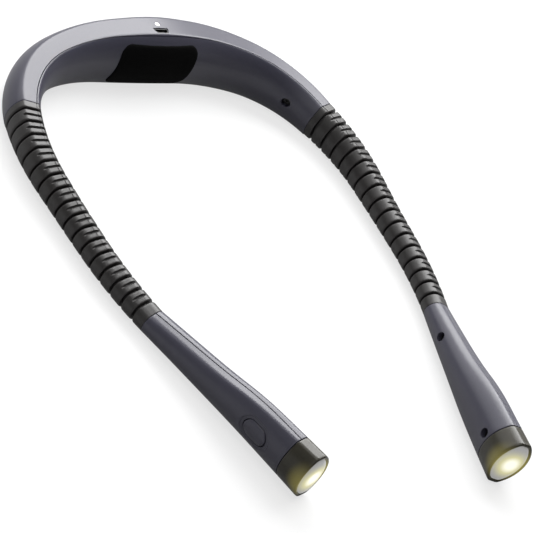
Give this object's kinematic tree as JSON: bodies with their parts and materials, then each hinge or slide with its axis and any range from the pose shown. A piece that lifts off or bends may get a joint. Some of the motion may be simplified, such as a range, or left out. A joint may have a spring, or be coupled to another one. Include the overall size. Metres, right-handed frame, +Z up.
{
  "type": "neck reading light",
  "caption": "U-shaped reading light worn round the neck, with a curved battery housing, two ribbed flexible arms and lamp heads with side buttons.",
  "frame": {"origin": "centre of the footprint, on the table plane that the light lies on", "axes": "+Z up from the table, +X to the wearer's right arm, -Y towards the lamp heads; the light is symmetric about the plane x = 0"},
  "size_m": [0.1878, 0.2525, 0.0288],
  "materials": {
    "housing_plastic": "satin dark blue-grey moulded plastic with a fine metallic fleck",
    "sleeve_rubber": "matte black moulded rubber",
    "pad_rubber": "soft matte black",
    "core_wire": "drawn wire",
    "screw_steel": "blackened screw steel",
    "port_steel": "stamped steel shell",
    "indicator_diffuser": "milky light pipe",
    "circuit_board": "solder mask over laminate",
    "battery_wrap": "foil pouch",
    "smoked_bezel": "smoked translucent polycarbonate",
    "lens_clear": "clear moulded lens",
    "button_plastic": "satin dark plastic"
  },
  "bodies": {
    "neck": {"neck_outer_shell": "housing_plastic", "neck_inner_shell": "housing_plastic", "neck_pad": "pad_rubber", "neck_screws": "screw_steel", "charge_port": "port_steel", "charge_indicator": "indicator_diffuser", "charge_board": "circuit_board", "battery_cell": "battery_wrap", "right_root_collar": "sleeve_rubber", "right_inner_sleeve": "sleeve_rubber", "right_gooseneck_core": "core_wire", "left_root_collar": "sleeve_rubber", "left_inner_sleeve": "sleeve_rubber", "left_gooseneck_core": "core_wire"},
    "right_rib_01": {"right_rib_01": "sleeve_rubber"},
    "right_rib_02": {"right_rib_02": "sleeve_rubber"},
    "right_rib_03": {"right_rib_03": "sleeve_rubber"},
    "right_rib_04": {"right_rib_04": "sleeve_rubber"},
    "right_rib_05": {"right_rib_05": "sleeve_rubber"},
    "right_rib_06": {"right_rib_06": "sleeve_rubber"},
    "right_rib_07": {"right_rib_07": "sleeve_rubber"},
    "right_rib_08": {"right_rib_08": "sleeve_rubber"},
    "right_rib_09": {"right_rib_09": "sleeve_rubber"},
    "right_rib_10": {"right_rib_10": "sleeve_rubber"},
    "right_rib_11": {"right_rib_11": "sleeve_rubber"},
    "right_rib_12": {"right_rib_12": "sleeve_rubber"},
    "right_rib_13": {"right_rib_13": "sleeve_rubber"},
    "right_rib_14": {"right_rib_14": "sleeve_rubber"},
    "right_rib_15": {"right_rib_15": "sleeve_rubber"},
    "right_lamp": {"right_tip_collar": "sleeve_rubber", "right_lamp_outer_shell": "housing_plastic", "right_lamp_inner_shell": "housing_plastic", "right_lamp_screws": "screw_steel", "right_lamp_bezel": "smoked_bezel", "right_lamp_lens": "lens_clear", "right_led_board": "circuit_board"},
    "right_button": {"right_power_button": "button_plastic"},
    "left_rib_01": {"left_rib_01": "sleeve_rubber"},
    "left_rib_02": {"left_rib_02": "sleeve_rubber"},
    "left_rib_03": {"left_rib_03": "sleeve_rubber"},
    "left_rib_04": {"left_rib_04": "sleeve_rubber"},
    "left_rib_05": {"left_rib_05": "sleeve_rubber"},
    "left_rib_06": {"left_rib_06": "sleeve_rubber"},
    "left_rib_07": {"left_rib_07": "sleeve_rubber"},
    "left_rib_08": {"left_rib_08": "sleeve_rubber"},
    "left_rib_09": {"left_rib_09": "sleeve_rubber"},
    "left_rib_10": {"left_rib_10": "sleeve_rubber"},
    "left_rib_11": {"left_rib_11": "sleeve_rubber"},
    "left_rib_12": {"left_rib_12": "sleeve_rubber"},
    "left_rib_13": {"left_rib_13": "sleeve_rubber"},
    "left_rib_14": {"left_rib_14": "sleeve_rubber"},
    "left_rib_15": {"left_rib_15": "sleeve_rubber"},
    "left_lamp": {"left_tip_collar": "sleeve_rubber", "left_lamp_outer_shell": "housing_plastic", "left_lamp_inner_shell": "housing_plastic", "left_lamp_screws": "screw_steel", "left_lamp_bezel": "smoked_bezel", "left_lamp_lens": "lens_clear", "left_led_board": "circuit_board"},
    "left_button": {"left_power_button": "button_plastic"}
  },
  "joints": [
    {"name": "right_root_lift", "type": "hinge", "parent": "neck", "child": "right_rib_01", "pos_m": [0.08266, 0.07582, 0.00821], "axis": [-0.9548, -0.2965, 0.0215], "range_deg": [-7, 7], "deforming": ["right_inner_sleeve", "right_gooseneck_core"]},
    {"name": "right_root_swing", "type": "hinge", "parent": "right_rib_01", "child": "right_rib_02", "pos_m": [0.0845, 0.06907, 0.00804], "axis": [0.0566, 0.0133, 0.9983], "range_deg": [-7, 7], "deforming": ["right_inner_sleeve", "right_gooseneck_core"]},
    {"name": "right_root_lift_2", "type": "hinge", "parent": "right_rib_02", "child": "right_rib_03", "pos_m": [0.08586, 0.0622, 0.00785], "axis": [-0.9826, -0.1597, 0.0947], "range_deg": [-7, 7], "deforming": ["right_inner_sleeve", "right_gooseneck_core"]},
    {"name": "right_root_swing_2", "type": "hinge", "parent": "right_rib_03", "child": "right_rib_04", "pos_m": [0.08674, 0.05526, 0.00764], "axis": [0.1307, 0.0119, 0.9914], "range_deg": [-7, 7], "deforming": ["right_inner_sleeve", "right_gooseneck_core"]},
    {"name": "right_root_lift_3", "type": "hinge", "parent": "right_rib_04", "child": "right_rib_05", "pos_m": [0.08713, 0.04827, 0.00741], "axis": [-0.9857, -0.0208, 0.1675], "range_deg": [-7, 7], "deforming": ["right_inner_sleeve", "right_gooseneck_core"]},
    {"name": "right_root_swing_3", "type": "hinge", "parent": "right_rib_05", "child": "right_rib_06", "pos_m": [0.08704, 0.04127, 0.00717], "axis": [0.2033, -0.0099, 0.9791], "range_deg": [-7, 7], "deforming": ["right_inner_sleeve", "right_gooseneck_core"]},
    {"name": "right_root_lift_4", "type": "hinge", "parent": "right_rib_06", "child": "right_rib_07", "pos_m": [0.08669, 0.03428, 0.00691], "axis": [-0.9697, 0.0495, 0.2393], "range_deg": [-7, 7], "deforming": ["right_inner_sleeve", "right_gooseneck_core"]},
    {"name": "right_root_swing_4", "type": "hinge", "parent": "right_rib_07", "child": "right_rib_08", "pos_m": [0.08632, 0.02729, 0.00664], "axis": [0.2744, -0.0146, 0.9615], "range_deg": [-7, 7], "deforming": ["right_inner_sleeve", "right_gooseneck_core"]},
    {"name": "right_tip_lift", "type": "hinge", "parent": "right_rib_08", "child": "right_rib_09", "pos_m": [0.08594, 0.0203, 0.00644], "axis": [-0.9542, 0.0527, 0.2944], "range_deg": [-7, 7], "deforming": ["right_inner_sleeve", "right_gooseneck_core"]},
    {"name": "right_tip_swing", "type": "hinge", "parent": "right_rib_09", "child": "right_rib_10", "pos_m": [0.08555, 0.01331, 0.00633], "axis": [0.2979, -0.0171, 0.9545], "range_deg": [-7, 7], "deforming": ["right_inner_sleeve", "right_gooseneck_core"]},
    {"name": "right_tip_lift_2", "type": "hinge", "parent": "right_rib_10", "child": "right_rib_11", "pos_m": [0.08514, 0.00632, 0.00621], "axis": [-0.9515, 0.0565, 0.3023], "range_deg": [-7, 7], "deforming": ["right_inner_sleeve", "right_gooseneck_core"]},
    {"name": "right_tip_swing_2", "type": "hinge", "parent": "right_rib_11", "child": "right_rib_12", "pos_m": [0.08459, -0.00065, 0.0061], "axis": [0.3048, -0.03, 0.9519], "range_deg": [-7, 7], "deforming": ["right_inner_sleeve", "right_gooseneck_core"]},
    {"name": "right_tip_lift_3", "type": "hinge", "parent": "right_rib_12", "child": "right_rib_13", "pos_m": [0.08377, -0.0076, 0.00598], "axis": [-0.9418, 0.1297, 0.3103], "range_deg": [-7, 7], "deforming": ["right_inner_sleeve", "right_gooseneck_core"]},
    {"name": "right_tip_swing_3", "type": "hinge", "parent": "right_rib_13", "child": "right_rib_14", "pos_m": [0.08268, -0.01452, 0.00587], "axis": [0.3094, -0.0549, 0.9493], "range_deg": [-7, 7], "deforming": ["right_inner_sleeve", "right_gooseneck_core"]},
    {"name": "right_tip_lift_4", "type": "hinge", "parent": "right_rib_14", "child": "right_rib_15", "pos_m": [0.08133, -0.02139, 0.00575], "axis": [-0.9263, 0.2016, 0.3182], "range_deg": [-7, 7], "deforming": ["right_inner_sleeve", "right_gooseneck_core"]},
    {"name": "right_tip_swing_4", "type": "hinge", "parent": "right_rib_15", "child": "right_lamp", "pos_m": [0.07971, -0.0282, 0.00564], "axis": [0.3119, -0.0807, 0.9467], "range_deg": [-7, 7], "deforming": ["right_inner_sleeve", "right_gooseneck_core"]},
    {"name": "right_button_press", "type": "slide", "parent": "right_lamp", "child": "right_button", "axis": [-0.9454, 0.2408, 0.2194], "range_m": [0, 0.0005], "stiffness_N_per_m": 600, "springref_m": -0.0005},
    {"name": "left_root_lift", "type": "hinge", "parent": "neck", "child": "left_rib_01", "pos_m": [-0.08266, 0.07582, 0.00821], "axis": [-0.9548, 0.2965, -0.0215], "range_deg": [-7, 7], "deforming": ["left_inner_sleeve", "left_gooseneck_core"]},
    {"name": "left_root_swing", "type": "hinge", "parent": "left_rib_01", "child": "left_rib_02", "pos_m": [-0.0845, 0.06907, 0.00804], "axis": [-0.0566, 0.0133, 0.9983], "range_deg": [-7, 7], "deforming": ["left_inner_sleeve", "left_gooseneck_core"]},
    {"name": "left_root_lift_2", "type": "hinge", "parent": "left_rib_02", "child": "left_rib_03", "pos_m": [-0.08586, 0.0622, 0.00785], "axis": [-0.9826, 0.1597, -0.0947], "range_deg": [-7, 7], "deforming": ["left_inner_sleeve", "left_gooseneck_core"]},
    {"name": "left_root_swing_2", "type": "hinge", "parent": "left_rib_03", "child": "left_rib_04", "pos_m": [-0.08674, 0.05526, 0.00764], "axis": [-0.1307, 0.0119, 0.9914], "range_deg": [-7, 7], "deforming": ["left_inner_sleeve", "left_gooseneck_core"]},
    {"name": "left_root_lift_3", "type": "hinge", "parent": "left_rib_04", "child": "left_rib_05", "pos_m": [-0.08713, 0.04827, 0.00741], "axis": [-0.9857, 0.0208, -0.1675], "range_deg": [-7, 7], "deforming": ["left_inner_sleeve", "left_gooseneck_core"]},
    {"name": "left_root_swing_3", "type": "hinge", "parent": "left_rib_05", "child": "left_rib_06", "pos_m": [-0.08704, 0.04127, 0.00717], "axis": [-0.2033, -0.0099, 0.9791], "range_deg": [-7, 7], "deforming": ["left_inner_sleeve", "left_gooseneck_core"]},
    {"name": "left_root_lift_4", "type": "hinge", "parent": "left_rib_06", "child": "left_rib_07", "pos_m": [-0.08669, 0.03428, 0.00691], "axis": [-0.9697, -0.0495, -0.2393], "range_deg": [-7, 7], "deforming": ["left_inner_sleeve", "left_gooseneck_core"]},
    {"name": "left_root_swing_4", "type": "hinge", "parent": "left_rib_07", "child": "left_rib_08", "pos_m": [-0.08632, 0.02729, 0.00664], "axis": [-0.2744, -0.0146, 0.9615], "range_deg": [-7, 7], "deforming": ["left_inner_sleeve", "left_gooseneck_core"]},
    {"name": "left_tip_lift", "type": "hinge", "parent": "left_rib_08", "child": "left_rib_09", "pos_m": [-0.08594, 0.0203, 0.00644], "axis": [-0.9542, -0.0527, -0.2944], "range_deg": [-7, 7], "deforming": ["left_inner_sleeve", "left_gooseneck_core"]},
    {"name": "left_tip_swing", "type": "hinge", "parent": "left_rib_09", "child": "left_rib_10", "pos_m": [-0.08555, 0.01331, 0.00633], "axis": [-0.2979, -0.0171, 0.9545], "range_deg": [-7, 7], "deforming": ["left_inner_sleeve", "left_gooseneck_core"]},
    {"name": "left_tip_lift_2", "type": "hinge", "parent": "left_rib_10", "child": "left_rib_11", "pos_m": [-0.08514, 0.00632, 0.00621], "axis": [-0.9515, -0.0565, -0.3023], "range_deg": [-7, 7], "deforming": ["left_inner_sleeve", "left_gooseneck_core"]},
    {"name": "left_tip_swing_2", "type": "hinge", "parent": "left_rib_11", "child": "left_rib_12", "pos_m": [-0.08459, -0.00065, 0.0061], "axis": [-0.3048, -0.03, 0.9519], "range_deg": [-7, 7], "deforming": ["left_inner_sleeve", "left_gooseneck_core"]},
    {"name": "left_tip_lift_3", "type": "hinge", "parent": "left_rib_12", "child": "left_rib_13", "pos_m": [-0.08377, -0.0076, 0.00598], "axis": [-0.9418, -0.1297, -0.3103], "range_deg": [-7, 7], "deforming": ["left_inner_sleeve", "left_gooseneck_core"]},
    {"name": "left_tip_swing_3", "type": "hinge", "parent": "left_rib_13", "child": "left_rib_14", "pos_m": [-0.08268, -0.01452, 0.00587], "axis": [-0.3094, -0.0549, 0.9493], "range_deg": [-7, 7], "deforming": ["left_inner_sleeve", "left_gooseneck_core"]},
    {"name": "left_tip_lift_4", "type": "hinge", "parent": "left_rib_14", "child": "left_rib_15", "pos_m": [-0.08133, -0.02139, 0.00575], "axis": [-0.9263, -0.2016, -0.3182], "range_deg": [-7, 7], "deforming": ["left_inner_sleeve", "left_gooseneck_core"]},
    {"name": "left_tip_swing_4", "type": "hinge", "parent": "left_rib_15", "child": "left_lamp", "pos_m": [-0.07971, -0.0282, 0.00564], "axis": [-0.3119, -0.0807, 0.9467], "range_deg": [-7, 7], "deforming": ["left_inner_sleeve", "left_gooseneck_core"]},
    {"name": "left_button_press", "type": "slide", "parent": "left_lamp", "child": "left_button", "axis": [0.9454, 0.2408, 0.2194], "range_m": [0, 0.0005], "stiffness_N_per_m": 600, "springref_m": -0.0005}
  ],
  "couplings": [
    {"joint": "right_root_lift_2", "follows": "right_root_lift", "ratio": 1},
    {"joint": "right_root_swing_2", "follows": "right_root_swing", "ratio": 1},
    {"joint": "right_root_lift_3", "follows": "right_root_lift", "ratio": 1},
    {"joint": "right_root_swing_3", "follows": "right_root_swing", "ratio": 1},
    {"joint": "right_root_lift_4", "follows": "right_root_lift", "ratio": 1},
    {"joint": "right_root_swing_4", "follows": "right_root_swing", "ratio": 1},
    {"joint": "right_tip_lift_2", "follows": "right_tip_lift", "ratio": 1},
    {"joint": "right_tip_swing_2", "follows": "right_tip_swing", "ratio": 1},
    {"joint": "right_tip_lift_3", "follows": "right_tip_lift", "ratio": 1},
    {"joint": "right_tip_swing_3", "follows": "right_tip_swing", "ratio": 1},
    {"joint": "right_tip_lift_4", "follows": "right_tip_lift", "ratio": 1},
    {"joint": "right_tip_swing_4", "follows": "right_tip_swing", "ratio": 1},
    {"joint": "left_root_lift_2", "follows": "left_root_lift", "ratio": 1},
    {"joint": "left_root_swing_2", "follows": "left_root_swing", "ratio": 1},
    {"joint": "left_root_lift_3", "follows": "left_root_lift", "ratio": 1},
    {"joint": "left_root_swing_3", "follows": "left_root_swing", "ratio": 1},
    {"joint": "left_root_lift_4", "follows": "left_root_lift", "ratio": 1},
    {"joint": "left_root_swing_4", "follows": "left_root_swing", "ratio": 1},
    {"joint": "left_tip_lift_2", "follows": "left_tip_lift", "ratio": 1},
    {"joint": "left_tip_swing_2", "follows": "left_tip_swing", "ratio": 1},
    {"joint": "left_tip_lift_3", "follows": "left_tip_lift", "ratio": 1},
    {"joint": "left_tip_swing_3", "follows": "left_tip_swing", "ratio": 1},
    {"joint": "left_tip_lift_4", "follows": "left_tip_lift", "ratio": 1},
    {"joint": "left_tip_swing_4", "follows": "left_tip_swing", "ratio": 1}
  ]
}
